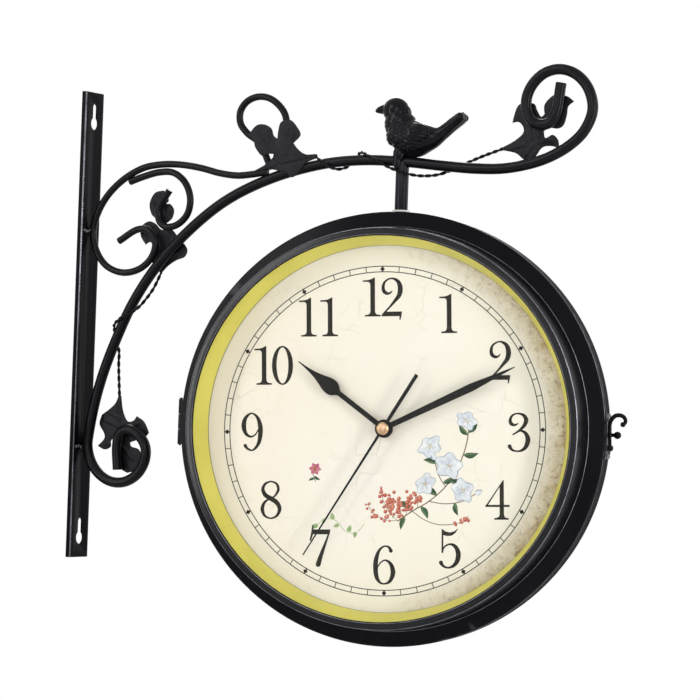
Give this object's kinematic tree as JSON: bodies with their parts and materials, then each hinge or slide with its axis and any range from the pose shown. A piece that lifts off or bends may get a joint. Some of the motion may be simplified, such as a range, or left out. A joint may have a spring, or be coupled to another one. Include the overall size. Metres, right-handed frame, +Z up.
{
  "type": "double sided station clock",
  "caption": "Round two-faced clock with an opening front, hung from a scrolled wall bracket with a cast bird, leaves and wire vine.",
  "frame": {"origin": "on the wall, behind the middle of the wall plate", "axes": "+X out from the wall along the arm, +Z up, -Y the side that the front dial faces; the case stands turned 13 degrees about +Z on its hanger"},
  "size_m": [0.5006, 0.182, 0.482],
  "materials": {
    "black_coat": "gloss powder coat",
    "yellow_plastic": "satin moulded plastic",
    "glass": "clear flat glass",
    "dial_paper": "printed matt card",
    "black_plastic": "moulded",
    "brass": "turned",
    "steel": "zinc plated",
    "white_plastic": "moulded",
    "hand_black": "painted black",
    "battery_jacket": "plain jacket"
  },
  "bodies": {
    "bracket": {"wall_plate": "black_coat", "main_arm": "black_coat", "upper_scroll": "black_coat", "inner_spiral": "black_coat", "top_loop": "black_coat", "loop_leaf": "black_coat", "scroll_leaf": "black_coat", "upper_leaf": "black_coat", "lower_leaf": "black_coat", "bottom_leaf": "black_coat", "right_vine": "black_coat", "left_vine": "black_coat", "bird": "black_coat", "hanger_tube": "black_coat", "hanger_washer": "white_plastic", "hanger_bolt": "steel", "inner_washer": "steel"},
    "rear_half": {"rear_case": "black_coat", "rear_liner": "yellow_plastic", "rear_glass": "glass", "rear_dial": "dial_paper", "rear_retainer": "black_plastic", "rear_movement": "black_plastic", "rear_bush_nut": "brass", "rear_battery": "battery_jacket", "hinge_leaf_rear": "black_coat", "hinge_pin": "black_coat", "latch_stud": "black_coat"},
    "front_door": {"front_case": "black_coat", "front_liner": "yellow_plastic", "front_glass": "glass", "front_dial": "dial_paper", "front_retainer": "black_plastic", "front_movement": "black_plastic", "front_bush_nut": "brass", "front_battery": "battery_jacket", "hinge_leaf_front": "black_coat", "latch_hook_plate": "black_coat", "latch_pivot": "black_coat"},
    "latch_hook": {"latch_hook": "black_coat"},
    "front_hour": {"front_hour_hand": "hand_black", "front_hour_pipe": "brass"},
    "front_minute": {"front_minute_hand": "hand_black", "front_minute_pipe": "brass"},
    "front_second": {"front_second_hand": "hand_black", "front_second_arbor": "steel", "front_hub_cap": "brass"},
    "front_knob": {"front_set_knob": "black_plastic"},
    "rear_hour": {"rear_hour_hand": "hand_black", "rear_hour_pipe": "brass"},
    "rear_minute": {"rear_minute_hand": "hand_black", "rear_minute_pipe": "brass"},
    "rear_second": {"rear_second_hand": "hand_black", "rear_second_arbor": "steel", "rear_hub_cap": "brass"},
    "rear_knob": {"rear_set_knob": "black_plastic"}
  },
  "joints": [
    {"name": "case_swivel", "type": "hinge", "parent": "bracket", "child": "rear_half", "pos_m": [0.304, 0, -0.0815], "axis": [0, 0, 1], "continuous": true},
    {"name": "door_hinge", "type": "hinge", "parent": "rear_half", "child": "front_door", "pos_m": [0.12732, -0.04643, -0.0815], "axis": [0, 0, -1], "range_deg": [0, 100]},
    {"name": "latch_hook_turn", "type": "hinge", "parent": "front_door", "child": "latch_hook", "pos_m": [0.48505, 0.03241, -0.091], "axis": [-0.9744, -0.225, 0], "range_deg": [-60, 57]},
    {"name": "front_hour_turn", "type": "hinge", "parent": "front_door", "child": "front_hour", "pos_m": [0.31199, -0.03459, -0.0815], "axis": [-0.225, 0.9744, 0], "continuous": true},
    {"name": "front_minute_turn", "type": "hinge", "parent": "front_door", "child": "front_minute", "pos_m": [0.31244, -0.03654, -0.0815], "axis": [-0.225, 0.9744, 0], "continuous": true},
    {"name": "front_second_turn", "type": "hinge", "parent": "front_door", "child": "front_second", "pos_m": [0.31289, -0.03849, -0.0815], "axis": [-0.225, 0.9744, 0], "continuous": true},
    {"name": "front_knob_turn", "type": "hinge", "parent": "front_door", "child": "front_knob", "pos_m": [0.30663, -0.0114, -0.0815], "axis": [-0.225, 0.9744, 0], "continuous": true},
    {"name": "rear_hour_turn", "type": "hinge", "parent": "rear_half", "child": "rear_hour", "pos_m": [0.29601, 0.03459, -0.0815], "axis": [0.225, -0.9744, 0], "continuous": true},
    {"name": "rear_minute_turn", "type": "hinge", "parent": "rear_half", "child": "rear_minute", "pos_m": [0.29556, 0.03654, -0.0815], "axis": [0.225, -0.9744, 0], "continuous": true},
    {"name": "rear_second_turn", "type": "hinge", "parent": "rear_half", "child": "rear_second", "pos_m": [0.29511, 0.03849, -0.0815], "axis": [0.225, -0.9744, 0], "continuous": true},
    {"name": "rear_knob_turn", "type": "hinge", "parent": "rear_half", "child": "rear_knob", "pos_m": [0.30137, 0.0114, -0.0815], "axis": [0.225, -0.9744, 0], "continuous": true}
  ],
  "couplings": [
    {"joint": "front_hour_turn", "follows": "front_minute_turn", "ratio": 0.083333},
    {"joint": "front_knob_turn", "follows": "front_minute_turn", "ratio": 1},
    {"joint": "rear_hour_turn", "follows": "rear_minute_turn", "ratio": 0.083333},
    {"joint": "rear_knob_turn", "follows": "rear_minute_turn", "ratio": 1}
  ]
}
